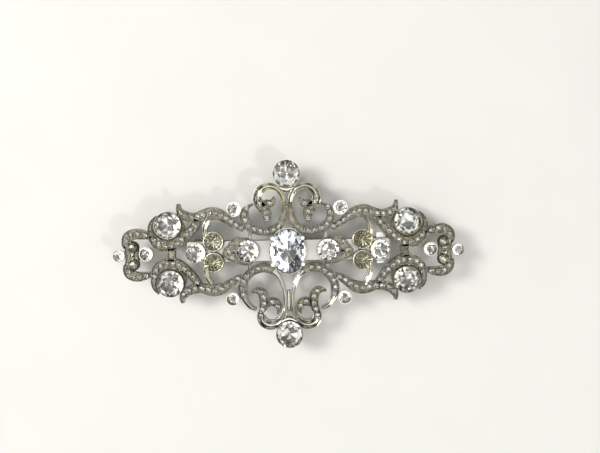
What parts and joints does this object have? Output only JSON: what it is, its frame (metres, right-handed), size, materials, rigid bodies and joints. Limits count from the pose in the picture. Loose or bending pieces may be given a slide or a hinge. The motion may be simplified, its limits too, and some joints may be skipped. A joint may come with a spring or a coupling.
{
  "type": "rhinestone hair clip",
  "caption": "Openwork cast hair ornament of scrolls set with round and oval clear stones, on a straight spring hair clip with a hinged clasp arm and squeeze catch.",
  "frame": {"origin": "Middle of the ornament outline in plan, on the surface that the closed clip rests on.", "axes": "+X along the clip from its hinge to its catch, +Y across it towards the upper heart scroll, +Z out of the face that shows the stones."},
  "size_m": [0.1032, 0.0554, 0.0141],
  "materials": {
    "cast_metal": "antiqued silver-tone casting, dark in the recesses",
    "collet_metal": "plain silver-tone cups, polished at the rim",
    "clip_steel": "nickel-plated pressed steel",
    "spring_steel": "bright spring steel",
    "solder": "dull soft solder",
    "round_stone": "foil-backed faceted clear glass",
    "centre_stone": "oval brilliant-cut clear stone with a faint blue cast",
    "small_stone": "tiny foil-backed clear glass chips"
  },
  "bodies": {
    "ornament": {"bottom_collet": "collet_metal", "bottom_stone": "round_stone", "catch_base": "clip_steel", "catch_rivets": "clip_steel", "centre_collet": "collet_metal", "centre_stone": "centre_stone", "clip_plate": "clip_steel", "hinge_pin": "clip_steel", "left_end_heart": "cast_metal", "left_end_heart_chips": "small_stone", "left_end_heart_collet": "collet_metal", "left_end_heart_stone": "round_stone", "left_inner_collet": "collet_metal", "left_inner_stone": "round_stone", "left_lower_corner_collet": "collet_metal", "left_lower_corner_stone": "round_stone", "left_lower_cradle_collet": "collet_metal", "left_lower_cradle_stone": "round_stone", "left_middle_collet": "collet_metal", "left_middle_stone": "round_stone", "left_tip_collet": "collet_metal", "left_tip_stone": "round_stone", "left_upper_corner_collet": "collet_metal", "left_upper_corner_stone": "round_stone", "left_upper_cradle_collet": "collet_metal", "left_upper_cradle_stone": "round_stone", "left_wing": "cast_metal", "left_wing_chips": "small_stone", "lower_heart": "cast_metal", "lower_heart_chips": "small_stone", "right_end_heart": "cast_metal", "right_end_heart_chips": "small_stone", "right_end_heart_collet": "collet_metal", "right_end_heart_stone": "round_stone", "right_inner_collet": "collet_metal", "right_inner_stone": "round_stone", "right_lower_corner_collet": "collet_metal", "right_lower_corner_stone": "round_stone", "right_lower_cradle_collet": "collet_metal", "right_lower_cradle_stone": "round_stone", "right_middle_collet": "collet_metal", "right_middle_stone": "round_stone", "right_tip_collet": "collet_metal", "right_tip_stone": "round_stone", "right_upper_corner_collet": "collet_metal", "right_upper_corner_stone": "round_stone", "right_upper_cradle_collet": "collet_metal", "right_upper_cradle_stone": "round_stone", "right_wing": "cast_metal", "right_wing_chips": "small_stone", "solder_fillets": "solder", "tension_spring": "spring_steel", "top_collet": "collet_metal", "top_stone": "round_stone", "upper_heart": "cast_metal", "upper_heart_chips": "small_stone"},
    "clasp_arm": {"clasp_arm": "clip_steel"},
    "front_tab": {"release_tab_front": "spring_steel"},
    "back_tab": {"release_tab_back": "spring_steel"}
  },
  "joints": [
    {"name": "clasp_hinge", "type": "hinge", "parent": "ornament", "child": "clasp_arm", "pos_m": [-0.0282, 0.001, 0.0013], "axis": [0, 1, 0], "range_deg": [0, 75]},
    {"name": "front_tab_squeeze", "type": "hinge", "parent": "ornament", "child": "front_tab", "pos_m": [0.028, -0.0008, 0.0072], "axis": [1, 0, 0], "range_deg": [0, 6], "stiffness_Nm_per_rad": 0.02},
    {"name": "back_tab_squeeze", "type": "hinge", "parent": "ornament", "child": "back_tab", "pos_m": [0.028, 0.0028, 0.0072], "axis": [-1, 0, 0], "range_deg": [0, 6], "stiffness_Nm_per_rad": 0.02}
  ],
  "couplings": [
    {"joint": "back_tab_squeeze", "follows": "front_tab_squeeze", "ratio": 1}
  ]
}
